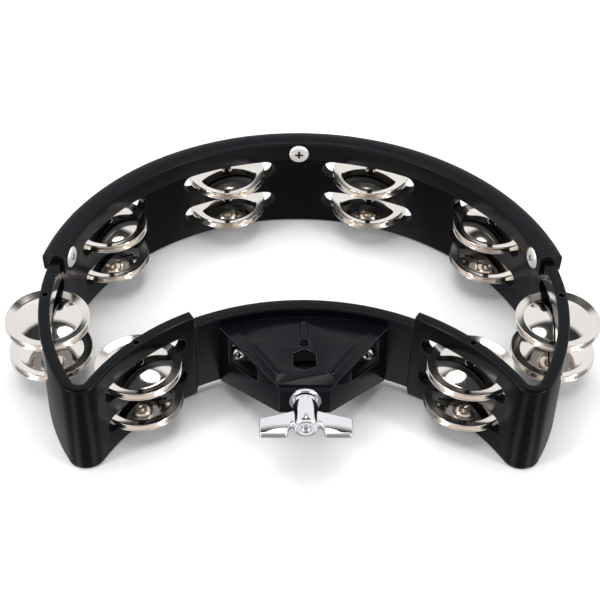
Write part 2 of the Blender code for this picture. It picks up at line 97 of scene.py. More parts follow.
def add_object(name, data):
    obj = bpy.data.objects.new(name, data)
    bpy.context.scene.collection.objects.link(obj)
    return obj


def solid(name, bm):
    """A scratch object, to be carved or to carve with."""
    return add_object(name, mesh_from(bm, name))


def take_mesh(obj):
    """The mesh of a scratch object, which is dropped."""
    mesh = obj.data
    bpy.data.objects.remove(obj, do_unlink=True)
    return mesh


def carve(obj, tools, edge=0.0, crease=40.0, segments=2):
    """Apply (cutter, operation) steps to an object, soften its sharp edges, and drop the cutters."""
    for tool, operation in tools:
        step = obj.modifiers.new("carve", "BOOLEAN")
        step.operation, step.solver, step.object = operation, "EXACT", tool
    if edge:
        step = obj.modifiers.new("edge", "BEVEL")
        step.width, step.segments, step.limit_method = edge * MM, segments, "ANGLE"
        step.angle_limit = math.radians(42)
    bpy.context.view_layer.update()
    done = bpy.data.meshes.new_from_object(obj.evaluated_get(bpy.context.evaluated_depsgraph_get()))
    obj.modifiers.clear()
    obj.data = done
    done.shade_smooth()
    done.set_sharp_from_angle(angle=math.radians(crease))
    for tool, _ in tools:
        bpy.data.objects.remove(tool, do_unlink=True)


def place(name, mesh, made, node, body, at=(0, 0, 0), turn=None):
    """Put a piece where its CAD node is, on that node's body, in place of the node."""
    obj = add_object(name, mesh)
    if not mesh.materials:
        mesh.materials.append(made)
    at = (at[0], at[1] - MIDDLE_Y, at[2])
    obj.matrix_world = Matrix.Translation(Vector(at) * MM) @ (turn or Matrix.Identity(4))
    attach(obj, body)
    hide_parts(node)
    return obj


def arc(radius, start, stop, steps, centre=(0.0, 0.0)):
    out = []
    for i in range(steps + 1):
        a = math.radians(start + (stop - start) * i / steps)
        out.append((centre[0] + radius * math.cos(a), centre[1] + radius * math.sin(a)))
    return out


def loft(bm, rings, closed):
    rows = [[bm.verts.new(p) for p in ring] for ring in rings]
    count = len(rows[0])
    for i in range(len(rows) if closed else len(rows) - 1):
        here, there = rows[i], rows[(i + 1) % len(rows)]
        for k in range(count):
            n = (k + 1) % count
            bm.faces.new((here[k], here[n], there[n], there[k]))
    if not closed:
        bm.faces.new(rows[0])
        bm.faces.new(list(reversed(rows[-1])))


def prism(bm, outline, low, high):
    loft(bm, [[(x, y, z) for x, y in outline] for z in (low, high)], closed=False)


def lathe(bm, profile, segments, matrix=Matrix.Identity(4)):
    turned = bmesh.new()
    verts = [turned.verts.new((r, 0.0, z)) for r, z in profile]
    edges = [turned.edges.new((verts[i], verts[i + 1])) for i in range(len(verts) - 1)]
    if profile[0][0] > 0.0:
        edges.append(turned.edges.new((verts[-1], verts[0])))
    bmesh.ops.spin(turned, geom=verts + edges, cent=(0, 0, 0), axis=(0, 0, 1),
                   angle=math.tau, steps=segments, use_merge=True)
    bmesh.ops.remove_doubles(turned, verts=turned.verts, dist=0.0001)
    bmesh.ops.transform(turned, matrix=matrix, verts=turned.verts)
    scratch = bpy.data.meshes.new("lathe")
    turned.to_mesh(scratch)
    turned.free()
    bm.from_mesh(scratch)
    bpy.data.meshes.remove(scratch)


def facing(direction):
    return Vector(direction).to_track_quat("Z", "Y").to_matrix().to_4x4()


def along(direction, at):
    return Matrix.Translation(at) @ facing(direction)


def rod(bm, radius, length, segments, matrix):
    bmesh.ops.create_cone(bm, cap_ends=True, segments=segments, radius1=radius, radius2=radius,
                          depth=length, matrix=matrix @ Matrix.Translation((0, 0, length / 2)))


def back_point(angle, radius, z=0.0):
    a = math.radians(angle)
    return Vector((radius * math.sin(a), radius * math.cos(a), z))


def front_point(angle, radius, z=0.0):
    a = math.radians(angle)
    return Vector((radius * math.sin(a), FRONT_CENTRE_Y + radius * math.cos(a), z))


def seat_arc(half_x, radius, steps):
    half = math.asin(half_x / radius)
    angles = [-half + 2 * half * i / steps for i in range(steps + 1)]
    return [(radius * math.sin(a), FRONT_CENTRE_Y + radius * math.cos(a)) for a in angles]


# ---------------------------------------------------------------- materials

def noise(nodes, links, vector, scale, detail):
    """The value of a 3-D noise."""
    made = nodes.new("ShaderNodeTexNoise")
    made.inputs["Scale"].default_value, made.inputs["Detail"].default_value = scale, detail
    links.new(vector, made.inputs["Vector"])
    return made.outputs["Fac"]


def remap(nodes, links, value, **limits):
    """A value moved from one span to another; the keywords are Map Range's inputs, such as To_Min."""
    made = nodes.new("ShaderNodeMapRange")
    for name, number in limits.items():
        made.inputs[name.replace("_", " ")].default_value = number
    links.new(value, made.inputs["Value"])
    return made.outputs["Result"]


def mixed_colour(nodes, links, share, first, second):
    """A colour that goes from the first to the second by a share; each is a socket or a plain colour."""
    made = nodes.new("ShaderNodeMix")
    made.data_type = "RGBA"
    links.new(share, made.inputs["Factor"])
    for socket, colour in ((made.inputs["A"], first), (made.inputs["B"], second)):
        if isinstance(colour, tuple):
            socket.default_value = (*colour, 1.0)
        else:
            links.new(colour, socket)
    return made.outputs["Result"]


def product(nodes, links, first, second):
    made = nodes.new("ShaderNodeMath")
    made.operation = "MULTIPLY"
    links.new(first, made.inputs[0])
    links.new(second, made.inputs[1])
    return made.outputs["Value"]


def surface(name, colour, roughness, metallic=0.0, tint=0.06, grain=900.0, bump=0.0, bump_scale=2500.0,
            rough_spread=0.06, specular=0.5, edge=0.0, edge_highlight=None):
    """A Principled surface whose colour, roughness and fine relief vary over it by 3-D noise.

    edge rounds its corners in the shading; the colour given last is painted on the corners as a highlight."""
    made = bpy.data.materials.new(name)
    made.use_nodes = True
    nodes, links = made.node_tree.nodes, made.node_tree.links
    shader = nodes["Principled BSDF"]
    shader.inputs["Metallic"].default_value = metallic
    shader.inputs["Specular IOR Level"].default_value = specular
    where = nodes.new("ShaderNodeTexCoord")
    ramp = nodes.new("ShaderNodeValToRGB")
    ramp.color_ramp.elements[0].position, ramp.color_ramp.elements[1].position = 0.3, 0.7
    ramp.color_ramp.elements[0].color = (*[c * (1 - tint) for c in colour], 1)
    ramp.color_ramp.elements[1].color = (*[min(c * (1 + tint), 1.0) for c in colour], 1)
    links.new(noise(nodes, links, where.outputs["Object"], grain * 0.05, 5.0), ramp.inputs["Fac"])
    links.new(ramp.outputs["Color"], shader.inputs["Base Color"])
    fine = noise(nodes, links, where.outputs["Object"], grain, 6.0)
    links.new(remap(nodes, links, fine, To_Min=max(roughness - rough_spread, 0.02),
                    To_Max=roughness + rough_spread), shader.inputs["Roughness"])
    if bump or edge:
        relief = nodes.new("ShaderNodeBump")
        relief.inputs["Distance"].default_value = MM * 0.1
        relief.inputs["Strength"].default_value = bump
        links.new(noise(nodes, links, where.outputs["Object"], bump_scale, 3.0), relief.inputs["Height"])
        if edge:
            soft = nodes.new("ShaderNodeBevel")
            soft.samples = 6
            soft.inputs["Radius"].default_value = edge * MM
            links.new(soft.outputs["Normal"], relief.inputs["Normal"])
        # Convex corners are lightened towards that colour: a painted highlight along the edges.
        if edge_highlight:
            plain = nodes.new("ShaderNodeNewGeometry")
            turn = nodes.new("ShaderNodeVectorMath")
            turn.operation = "DOT_PRODUCT"
            links.new(soft.outputs["Normal"], turn.inputs[0])
            links.new(plain.outputs["Normal"], turn.inputs[1])
            highlight_share = remap(nodes, links, turn.outputs["Value"], From_Min=0.985, From_Max=0.86)
            links.new(mixed_colour(nodes, links, highlight_share, ramp.outputs["Color"], edge_highlight), shader.inputs["Base Color"])
        links.new(relief.outputs["Normal"], shader.inputs["Normal"])
    return made


def by_position(nodes, links, value, start, stop, low, high):
    """A smooth step of a position value, from low at start to high at stop (millimetres)."""
    step = nodes.new("ShaderNodeMapRange")
    step.interpolation_type = "SMOOTHSTEP"
    for name, number in (("From Min", start * MM), ("From Max", stop * MM), ("To Min", low), ("To Max", high)):
        step.inputs[name].default_value = number
    links.new(value, step.inputs["Value"])
    return step.outputs["Result"]


def turned_metal(name, colour, roughness, rings=0.12, pitch=0.35, tint=0.05, smudge=0.05, satin=None,
                 shaded_recess=None, metallic=1.0, cast_end=None):
    """Plated metal with faint lathe rings about its own Z axis and soft smudges.

    satin (radius, roughness) leaves the surface beyond that radius duller than the rest;
    the recess argument (radius, height) darkens the colour inside that radius and below that height as painted
    shade;
    cast_end leaves an end face beyond that place on -Y as cast, pale and dull."""
    made = surface(name, colour, roughness, metallic=metallic, tint=tint, grain=260.0, rough_spread=smudge)
    nodes, links = made.node_tree.nodes, made.node_tree.links
    shader = nodes["Principled BSDF"]
    where = nodes.new("ShaderNodeTexCoord")
    split = nodes.new("ShaderNodeSeparateXYZ")
    links.new(where.outputs["Object"], split.inputs["Vector"])
    flat = nodes.new("ShaderNodeCombineXYZ")
    links.new(split.outputs["X"], flat.inputs["X"])
    links.new(split.outputs["Y"], flat.inputs["Y"])
    reach = nodes.new("ShaderNodeVectorMath")
    reach.operation = "LENGTH"
    links.new(flat.outputs["Vector"], reach.inputs[0])
    turns = nodes.new("ShaderNodeTexNoise")
    turns.noise_dimensions = "1D"
    turns.inputs["Scale"].default_value = 1.0 / (pitch * MM)
    turns.inputs["Detail"].default_value = 3.0
    links.new(reach.outputs["Value"], turns.inputs["W"])
    relief = nodes.new("ShaderNodeBump")
    relief.inputs["Distance"].default_value = MM * 0.02
    relief.inputs["Strength"].default_value = rings
    links.new(turns.outputs["Fac"], relief.inputs["Height"])
    links.new(relief.outputs["Normal"], shader.inputs["Normal"])
    if satin:
        extra = by_position(nodes, links, reach.outputs["Value"], satin[0] - 0.4, satin[0] + 0.4,
                            0.0, satin[1] - roughness)
        total = nodes.new("ShaderNodeMath")
        links.new(shader.inputs["Roughness"].links[0].from_socket, total.inputs[0])
        links.new(extra, total.inputs[1])
        links.new(total.outputs["Value"], shader.inputs["Roughness"])
    if cast_end:
        beyond = by_position(nodes, links, split.outputs["Y"], cast_end, cast_end + 0.25, 1.0, 0.0)
        aside = by_position(nodes, links, split.outputs["X"], -BOSS_R - 0.2, -BOSS_R, 0.0, 1.0)
        other = by_position(nodes, links, split.outputs["X"], BOSS_R, BOSS_R + 0.2, 1.0, 0.0)
        end = product(nodes, links, product(nodes, links, beyond, aside), other)
        for socket, low, high in (("Metallic", 1.0, 0.7), ("Roughness", roughness, 0.45)):
            links.new(remap(nodes, links, end, To_Min=low, To_Max=high), shader.inputs[socket])
    # Painted shade: the colour is darkened inside the screw head's recess.
    if shaded_recess:
        inside = by_position(nodes, links, reach.outputs["Value"], shaded_recess[0], shaded_recess[0] + 0.1, 1.0, 0.0)
        below = by_position(nodes, links, split.outputs["Z"], shaded_recess[1] - 0.15, shaded_recess[1], 1.0, 0.0)
        clean = shader.inputs["Base Color"].links[0].from_socket
        painted_recess_shade = mixed_colour(nodes, links, product(nodes, links, inside, below), clean, (0.02, 0.018, 0.016))
        links.new(painted_recess_shade, shader.inputs["Base Color"])
    return made


# The last colour of each of these three surfaces is painted on their corners as a highlight.
moulding = surface("rim_black_moulding", (0.0017, 0.0020, 0.0030), 0.20, tint=0.12, bump=0.03, bump_scale=900.0,
                   rough_spread=0.03, specular=0.16, edge=0.7, edge_highlight=(0.045, 0.047, 0.054))
strip_black = surface("strip_fine_matte", (0.0046, 0.0051, 0.0064), 0.34, tint=0.10, bump=0.12,
                      bump_scale=4200.0, rough_spread=0.05, specular=0.14, edge=0.5, edge_highlight=(0.04, 0.042, 0.048))
enamel = surface("bracket_enamel", (0.0026, 0.0031, 0.0044), 0.22, tint=0.10, bump=0.012, bump_scale=1500.0,
                 rough_spread=0.03, specular=0.17, edge=0.5, edge_highlight=(0.075, 0.078, 0.088))
guide_enamel = surface("guide_enamel", (0.006, 0.006, 0.0066), 0.4, tint=0.12, bump=0.05, bump_scale=2200.0,
                       specular=0.25)
nickel = turned_metal("jingle_polished_nickel", (0.94, 0.885, 0.825), 0.08, rings=0.05, smudge=0.03,
                      satin=(BOWL_R, 0.12))
pin_steel = turned_metal("pin_drawn_steel", (0.03, 0.03, 0.03), 0.35)
# Both screw heads get painted shade in their cross recess.
screw_nickel = turned_metal("strip_screw_nickel_plate", (0.88, 0.85, 0.81), 0.42, shaded_recess=(2.95, 1.35),
                            metallic=0.55)
pan_nickel = turned_metal("pan_screw_nickel_plate", (0.80, 0.785, 0.765), 0.16, shaded_recess=(2.35, 2.6))
washer_nickel = turned_metal("washer_nickel_plate", (0.74, 0.73, 0.72), 0.20)
nut_steel = turned_metal("nut_zinc_plate", (0.55, 0.55, 0.56), 0.30)
chrome = turned_metal("wing_bright_chrome", (0.93, 0.93, 0.94), 0.05, rings=0.02, smudge=0.015,
                      cast_end=BOSS_FRONT_Y - BOSS_REAR_Y + 0.15)
ring_chrome = turned_metal("washer_bright_chrome", (0.90, 0.90, 0.91), 0.07, rings=0.06, smudge=0.03)
stem_steel = turned_metal("stem_turned_steel", (0.60, 0.60, 0.60), 0.26)


# ---------------------------------------------------------------- rim

def rim_path():
    """Closed path of (outer point, inner point, share of the saddle) around the crescent."""
    a, b = BACK_R - HORN_R, FRONT_R + HORN_R
    cy = (a * a - b * b + FRONT_CENTRE_Y ** 2) / (2 * FRONT_CENTRE_Y)
    cx = math.sqrt(a * a - cy * cy)
    back = math.degrees(math.atan2(cy, cx))
    front = math.degrees(math.atan2(cy - FRONT_CENTRE_Y, cx))

    def wall(radius, start, stop, steps, centre=(0.0, 0.0)):
        return [(outer, inner, 0.0) for outer, inner in
                zip(arc(radius, start, stop, steps, centre), arc(radius - WALL, start, stop, steps, centre))]

    path = wall(BACK_R, back, 180 - back, 220) + wall(HORN_R, 180 - back, 360 - front, 24, (-cx, cy))
    sides = [180 - front - (90 - front - SADDLE_HALF) * i / 34 for i in range(34)]
    turns = [(t, 0.0) for t in sides]
    step = [(0.16, 0.0), (0.10, 0.12), (0.0, 0.5), (-0.10, 0.88), (-0.16, 1.0)]
    turns += [(90 + SADDLE_HALF + d, s) for d, s in step]
    turns += [(90 + SADDLE_HALF - 0.4 - (2 * SADDLE_HALF - 0.8) * i / 60, 1.0) for i in range(61)]
    turns += [(90 - SADDLE_HALF - d, s) for d, s in reversed(step)]
    turns += [(180 - t, 0.0) for t in reversed(sides)]
    for t, saddle in turns:
        path.append((arc(FRONT_R - SADDLE_PROUD * saddle, t, t, 1, (0, FRONT_CENTRE_Y))[0],
                     arc(FRONT_R + WALL, t, t, 1, (0, FRONT_CENTRE_Y))[0], saddle))
    path += wall(HORN_R, 180 + front, 360 + back, 24, (cx, cy))
    clean = [path[0]]
    for step in path[1:]:
        if math.dist(step[0], clean[-1][0]) > 0.05:
            clean.append(step)
    if math.dist(clean[0][0], clean[-1][0]) < 0.05:
        clean.pop()
    return clean


def pin_centres():
    """The middle of the rim's wall at each station."""
    centres = {name: back_point(a, BACK_R - WALL / 2) for name, a in BACK_STATIONS.items()}
    centres.update({name: front_point(a, FRONT_R + WALL / 2) for name, a in FRONT_STATIONS.items()})
    return centres


def build_rim():
    """The moulded wall, lofted round the crescent with rounded edges, then slotted and bored."""
    corner = [(1 - math.sin(math.radians(a)), 1 - math.cos(math.radians(a))) for a in (0, 22.5, 45, 67.5, 90)]
    rings = []
    for outer, inner, saddle in rim_path():
        low = SADDLE_DROP * saddle
        high = HEIGHT - SADDLE_DROP * saddle
        o, i = Vector(outer), Vector(inner)
        way = (i - o).normalized()
        e = EDGE
        ring = []
        for u, v in corner:                       # outer foot, from the wall round to the base
            ring.append((*(o + way * e * v), low + e * u))
        for u, v in reversed(corner):             # inner foot
            ring.append((*(i - way * e * v), low + e * u))
        for u, v in corner:                       # inner top
            ring.append((*(i - way * e * v), high - e * u))
        for u, v in reversed(corner):             # outer top
            ring.append((*(o + way * e * v), high - e * u))
        rings.append(ring)
    bm = bmesh.new()
    loft(bm, rings, closed=True)
    rim = solid("rim", bm)
    tools = []
    bm = bmesh.new()
    ends = SLOT_HIGH / 2
    outline = arc(ends, -90, 90, 14, (SLOT_HALF - ends, 0)) + arc(ends, 90, 270, 14, (ends - SLOT_HALF, 0))
    for stations, point, radius in ((BACK_STATIONS, back_point, BACK_R - WALL / 2),
                                    (FRONT_STATIONS, front_point, FRONT_R + WALL / 2)):
        for angle in stations.values():
            out = (point(angle, 1.0) - point(angle, 0.0)).normalized()
            side = Vector((out.y, -out.x, 0))
            for floor in SLOT_FLOORS.values():
                centre = point(angle, radius, floor + SLOT_HIGH / 2)
                loft(bm, [[centre + side * u + Vector((0, 0, v)) + out * d for u, v in outline]
                          for d in (-12.0, 12.0)], closed=False)
    tools.append((solid("slots", bm), "DIFFERENCE"))
    bm = bmesh.new()
    for centre in pin_centres().values():
        rod(bm, PIN_HOLE_R, HEIGHT, 24, Matrix.Translation((centre.x, centre.y, PIN_FOOT - GAP)))
    for angle in STRIP_SCREWS.values():
        rod(bm, STRIP_SHANK_R + GAP, 12.0, 20,
            along(back_point(angle, 1), back_point(angle, 118.0, STRIP_SCREW_Z)))
    for angle in (-BRACKET_SCREW_ANGLE, BRACKET_SCREW_ANGLE):
        out = front_point(angle, 1.0) - front_point(angle, 0.0)
        rod(bm, BRACKET_SCREW_R + GAP, 14.0, 20, along(out, front_point(angle, FRONT_R - 4.0, MID_Z)))
    tools.append((solid("bores", bm), "DIFFERENCE"))
    carve(rim, tools, crease=38.0)
    place("rim_moulding", take_mesh(rim), moulding, "frame", "rim")


# ---------------------------------------------------------------- jingles and pins

def jingle_profile():
    """Closed profile of one plate: a shallow dome, a soft crease, a rising flange and a rounded lip."""
    def skin(r):
        if r < BOWL_R:
            return BOWL_DEEP * (1.0 - (r / BOWL_R) ** 2)
        return FLANGE_LEAN * ((r - BOWL_R) / (JINGLE_R - BOWL_R))

    radii = [JINGLE_HOLE_R + (BOWL_R - 0.6 - JINGLE_HOLE_R) * i / 22 for i in range(23)]
    radii += [BOWL_R - 0.4, BOWL_R - 0.2, BOWL_R, BOWL_R + 0.25, BOWL_R + 0.5, BOWL_R + 0.9]
    radii += [BOWL_R + 0.9 + (JINGLE_R - 0.4 - BOWL_R - 0.9) * i / 10 for i in range(1, 11)]
    heights = []
    for r in radii:
        z = skin(r)
        if abs(r - BOWL_R) < 0.6:                # soft crease
            z = (skin(r - 0.45) + 2 * z + skin(r + 0.45)) / 4
        heights.append(z)
    under = list(zip(radii, heights))
    over = [(r, z + PLATE - 0.02) for r, z in under]
    lip_z = heights[-1] + PLATE / 2
    lip = [(JINGLE_R - LIP_R + LIP_R * math.cos(math.radians(a)), lip_z + LIP_R * math.sin(math.radians(a)))
           for a in (-72, -48, -24, 0, 24, 48, 72)]
    top = over[0][1]
    return [(JINGLE_HOLE_R + 0.15, under[0][1])] + under[1:] + lip + list(reversed(over[1:])) + \
        [(JINGLE_HOLE_R + 0.15, top), (JINGLE_HOLE_R, top - 0.15), (JINGLE_HOLE_R, under[0][1] + 0.15)]


def build_jingles():
    """A pin at each station, and on it two pairs of plates: the lower one domes down, the upper one up."""
    bm = bmesh.new()
    lathe(bm, jingle_profile(), 112)
    plate = mesh_from(bm, "jingle", crease=60.0)
    plate.materials.append(nickel)
    bm = bmesh.new()
    tall = PIN_HEAD - PIN_FOOT
    lathe(bm, [(0.0, 0.0), (PIN_R - 0.2, 0.0), (PIN_R, 0.2), (PIN_R, tall - 0.25), (PIN_R - 0.25, tall),
               (0.0, tall)], 32)
    pin = mesh_from(bm, "pin", crease=50.0)
    pin.materials.append(pin_steel)
    stack = PLATE + BOWL_DEEP
    for k, (name, centre) in enumerate(pin_centres().items()):
        place(f"pin_wire_{name}", pin, pin_steel, f"pin_{name}", "rim",
              (centre.x, centre.y, PIN_FOOT))
        y = centre.y - (SIDE_LEAN if name in ("left", "right") else 0.0)
        for j, (row, floor) in enumerate(SLOT_FLOORS.items()):
            spin = Matrix.Rotation(math.radians(90 * (k + 2 * j)), 4, "Z")
            under, over = f"jingle_{name}_{row}_under", f"jingle_{name}_{row}_over"
            place(f"plate_{name}_{row}_under", plate, nickel, under, under,
                  (centre.x, y, floor + GAP + stack), spin @ Matrix.Rotation(math.pi, 4, "X"))
            place(f"plate_{name}_{row}_over", plate, nickel, over, over,
                  (centre.x, y, floor + 2 * GAP + stack), spin)


# ---------------------------------------------------------------- striking strip

def strip_section():
    """Outline of the strip's section, (radius, height): a crowned top over two legs, with soft corners."""
    outer = [(130.8, 44.2), (131.1, 50.6), (131.05, 51.9), (130.75, 52.8), (130.2, 53.45), (129.2, 53.95),
             (127.4, 54.3), (125.5, 54.22), (123.6, 54.0), (122.0, 53.7), (120.8, 53.3), (120.1, 52.85),
             (119.8, 52.3), (119.7, 51.2), (119.7, 43.1), (119.85, 42.75), (120.2, 42.6), (120.7, 42.6),
             (121.0, 42.75), (121.1, 43.1), (121.1, 51.3), (128.7, 51.3), (128.7, 44.5), (128.85, 44.25),
             (129.2, 44.2), (130.4, 44.2)]
    return outer[1:] + [(130.75, 44.5)]


def build_strip():
    """The striking strip, swept along the back edge and bored for its three screws."""
    steps = 224
    rings = [[back_point(-STRIP_HALF + 2 * STRIP_HALF * i / steps, r, z) for r, z in strip_section()]
             for i in range(steps + 1)]
    bm = bmesh.new()
    loft(bm, rings, closed=False)
    strip = solid("strip", bm)
    bm = bmesh.new()
    for angle in STRIP_SCREWS.values():
        rod(bm, STRIP_SHANK_R + GAP, 12.0, 20,
            along(back_point(angle, 1), back_point(angle, 118.0, STRIP_SCREW_Z)))
    carve(strip, [(solid("strip_holes", bm), "DIFFERENCE")])
    place("strip_cap", take_mesh(strip), strip_black, "striking_strip", "rim")


def cross_recess(width, length, top, depth):
    """Cutter for a cross-head recess, tapering as it goes in along -Z."""
    rings = []
    for z, w, l in ((top + 0.5, width * 1.15, length * 1.15), (top - depth, width * 0.6, length * 0.4)):
        cross = [(w, w), (w, l), (-w, l), (-w, w), (-l, w), (-l, -w), (-w, -w), (-w, -l), (w, -l), (w, -w),
                 (l, -w), (l, w)]
        rings.append([(x, y, z) for x, y in cross])
    bm = bmesh.new()
    loft(bm, rings, closed=False)
    return bm


def pan_screw(name, head, dome, shank, length):
    """A pan-headed, cross-recessed screw that points along -Z from the underside of its head."""
    bm = bmesh.new()
    profile = [(0.0, dome)]
    for i in range(1, 13):
        t = i / 12
        profile.append((head * t, 0.35 + (dome - 0.35) * (1.0 - t ** 3.4) ** 0.6))
    profile += [(head, 0.12), (head - 0.12, 0.0), (shank, 0.0)]
    z = -0.4
    while z > -length + 1.2:                      # thread as a stack of shallow ridges
        profile += [(shank, z), (shank - 0.28, z - 0.35)]
        z -= 0.7
    profile += [(shank - 0.3, -length + 0.6), (shank * 0.5, -length), (0.0, -length)]
    lathe(bm, profile, 48)
    screw = solid(name, bm)
    tool = solid("recess", cross_recess(0.66, head * 0.56, dome, 1.1))
    carve(screw, [(tool, "DIFFERENCE")], crease=32.0)
    return take_mesh(screw)


def build_strip_screws():
    mesh = pan_screw("strip_screw", head=STRIP_HEAD_R, dome=1.6, shank=STRIP_SHANK_R, length=9.9)
    for name, angle in STRIP_SCREWS.items():
        place(f"strip_pan_screw_{name}", mesh, screw_nickel, f"strip_screw_{name}", "rim",
              back_point(angle, STRIP_SEAT_R, STRIP_SCREW_Z), facing(-back_point(angle, 1)))


# ---------------------------------------------------------------- bracket

def rod_hole():
    lean = ROD_HALF * math.tan(math.radians(30))
    return [(0, ROD_FRONT_Y), (ROD_HALF, ROD_FRONT_Y + lean), (ROD_HALF, ROD_REAR_Y - lean),
            (0, ROD_REAR_Y), (-ROD_HALF, ROD_REAR_Y - lean), (-ROD_HALF, ROD_FRONT_Y + lean)]


def bead(bm, start, stop, half, low, high):
    """A pressed stiffening bead: a long low ridge with round ends and a soft crown."""
    a, b = Vector(start), Vector(stop)
    heading = math.degrees(math.atan2((b - a).y, (b - a).x))
    rings = []
    for width, share in ((1.0, 0.0), (0.97, 0.32), (0.86, 0.58), (0.68, 0.80), (0.45, 0.94), (0.2, 1.0)):
        outline = arc(half * width, heading - 90, heading + 90, 12, b[:]) + \
            arc(half * width, heading + 90, heading + 270, 12, a[:])
        rings.append([(x, y, low + (high - low) * share) for x, y in outline])
    loft(bm, rings, closed=False)


def cheek_lines():
    """Where the cheeks reach the rim, their direction on the right side, and the step to their inner face."""
    corner_y = FRONT_CENTRE_Y + math.sqrt(SEAT_R ** 2 - FAN_HALF ** 2)
    way = Vector((FAN_HALF - FRONT_HALF, corner_y - FRONT_Y)).normalized()
    return corner_y, way, Vector((-way.y, way.x)) * PRESS


def build_bracket():
    """The pressed bracket: a hollow fan with tapered cheeks, beads, windows and the rod's hexagonal hole."""
    corner_y, way, inset = cheek_lines()
    bm = bmesh.new()
    prism(bm, [(FRONT_HALF, FRONT_Y), *reversed(seat_arc(FAN_HALF, SEAT_R, 48)), (-FRONT_HALF, FRONT_Y)],
          CHEEK_REAR_Z, PLATE_TOP)
    top = [e for e in bm.edges if all(abs(v.co.z - PLATE_TOP) < 0.01 for v in e.verts)]
    front = [e for e in top if all(abs(v.co.y - FRONT_Y) < 0.01 for v in e.verts)]
    bmesh.ops.bevel(bm, geom=front, offset=FOLD_R, offset_type="OFFSET", segments=10, profile=0.5,
                    affect="EDGES")
    shell = solid("bracket_shell", bm)

    tools = []
    bm = bmesh.new()
    tab_r = SEAT_R - PRESS
    front_x = FRONT_HALF + inset.x + (PRESS - inset.y) * way.x / way.y
    first, last = math.asin(TAB_INNER_X / tab_r), math.asin((FAN_HALF - 2.4) / tab_r)
    tab = []
    for i in range(13):
        a = last + (first - last) * i / 12
        tab.append((tab_r * math.sin(a), FRONT_CENTRE_Y + tab_r * math.cos(a)))
    right = [(front_x, FRONT_Y + PRESS), *tab, (TAB_INNER_X, 6.0)]
    prism(bm, right + [(-x, y) for x, y in reversed(right)], -5.0, PLATE_TOP - PRESS)
    tools.append((solid("inside", bm), "DIFFERENCE"))

    bm = bmesh.new()
    slope = (CHEEK_FRONT_Z - CHEEK_REAR_Z) / (corner_y - FRONT_Y)
    taper = [(corner_y, CHEEK_REAR_Z - 4.0), (corner_y, CHEEK_REAR_Z),
             (FRONT_Y - 4.0, CHEEK_FRONT_Z + 4.0 * slope), (FRONT_Y - 4.0, CHEEK_REAR_Z - 4.0)]
    loft(bm, [[(x, y, z) for y, z in taper] for x in (-60.0, 60.0)], closed=False)
    tools.append((solid("taper", bm), "DIFFERENCE"))

    bm = bmesh.new()
    bead(bm, (0.0, -10.4), (0.0, -21.0), 2.4, PLATE_TOP - 0.4, PLATE_TOP + 1.1)
    for side in (-1, 1):
        bead(bm, (side * 22.4, -25.9), (side * 12.0, -43.2), 2.2, PLATE_TOP - 0.4, PLATE_TOP + 1.1)
    tools.append((solid("beads", bm), "UNION"))

    bm = bmesh.new()
    prism(bm, rod_hole(), PLATE_TOP - 5.0, PLATE_TOP + 5.0)
    prism(bm, [(-2.2, -26.2), (2.2, -26.2), (2.2, -22.4), (-2.2, -22.4)], PLATE_TOP - 5.0, PLATE_TOP + 5.0)
    rod(bm, STEM_R + 0.5, 6.0, 32, along((0, 1, 0), (0, FRONT_Y - 2.0, SCREW_Z)))
    for angle in (-BRACKET_SCREW_ANGLE, BRACKET_SCREW_ANGLE):
        out = front_point(angle, 1.0) - front_point(angle, 0.0)
        rod(bm, BRACKET_SCREW_R + GAP, 6.0, 24, along(out, front_point(angle, SEAT_R - 4.0, MID_Z)))
    for side in (-1, 1):
        reach = Vector((side * way.y, -way.x)) * 7.0
        rings = []
        for d in (-1.0, 1.0):
            near, far = [Vector((side * (FRONT_HALF + s * (FAN_HALF - FRONT_HALF)),
                                 FRONT_Y + s * (corner_y - FRONT_Y))) + reach * d for s in (0.84, 0.36)]
            rings.append([(*near, 24.0), (*far, 30.5), (*far, PLATE_TOP - PRESS + 0.2),
                          (*near, PLATE_TOP - PRESS + 0.2)])
        loft(bm, rings, closed=False)
    tools.append((solid("piercing", bm), "DIFFERENCE"))
    carve(shell, tools, edge=0.35, crease=50.0)
    place("bracket_pressing", take_mesh(shell), enamel, "bracket", "rim")


def build_rod_guide():
    """The second plate below the bracket's top, with the same hole."""
    _, way, inset = cheek_lines()
    bm = bmesh.new()
    plan = []
    for y in (FRONT_Y + PRESS + 0.4, -23.0):
        plan.append((FRONT_HALF + inset.x + (y - FRONT_Y - inset.y) * way.x / way.y - 0.5, y))
    near, far = plan
    prism(bm, [(-near[0], near[1]), near, far, (-far[0], far[1])], GUIDE_Z, GUIDE_Z + PRESS)
    guide = solid("guide", bm)
    bm = bmesh.new()
    prism(bm, rod_hole(), GUIDE_Z - 3.0, GUIDE_Z + PRESS + 3.0)
    carve(guide, [(solid("guide_hole", bm), "DIFFERENCE")], edge=0.3, crease=50.0)
    place("rod_guide_plate", take_mesh(guide), guide_enamel, "rod_guide", "rim")


def ring_profile(bore, radius, low, high, edge=0.2):
    return [(bore, low + edge), (bore + edge, low), (radius - edge, low), (radius, low + edge),
            (radius, high - edge), (radius - edge, high), (bore + edge, high), (bore, high - edge)]


def hex_nut(name, bore, radius, high):
    """A hexagonal nut with chamfered corners and a bored centre, standing on z = 0."""
    bm = bmesh.new()
    flat = radius * math.cos(math.radians(30))
    prism(bm, [(x, y) for x, y in arc(radius, 0, 300, 5)], 0.0, high)
    nut = solid(name, bm)
    round_off = bmesh.new()
    slope = (radius - flat) * 0.6
    lathe(round_off, [(0.0, -0.001), (flat, -0.001), (radius + 0.02, slope), (radius + 0.02, high - slope),
                      (flat, high + 0.001), (0.0, high + 0.001)], 48)
    hole = bmesh.new()
    rod(hole, bore, high + 2.0, 32, Matrix.Translation((0, 0, -1.0)))
    carve(nut, [(solid("round_off", round_off), "INTERSECT"), (solid("hole", hole), "DIFFERENCE")],
          crease=25.0)
    return take_mesh(nut)


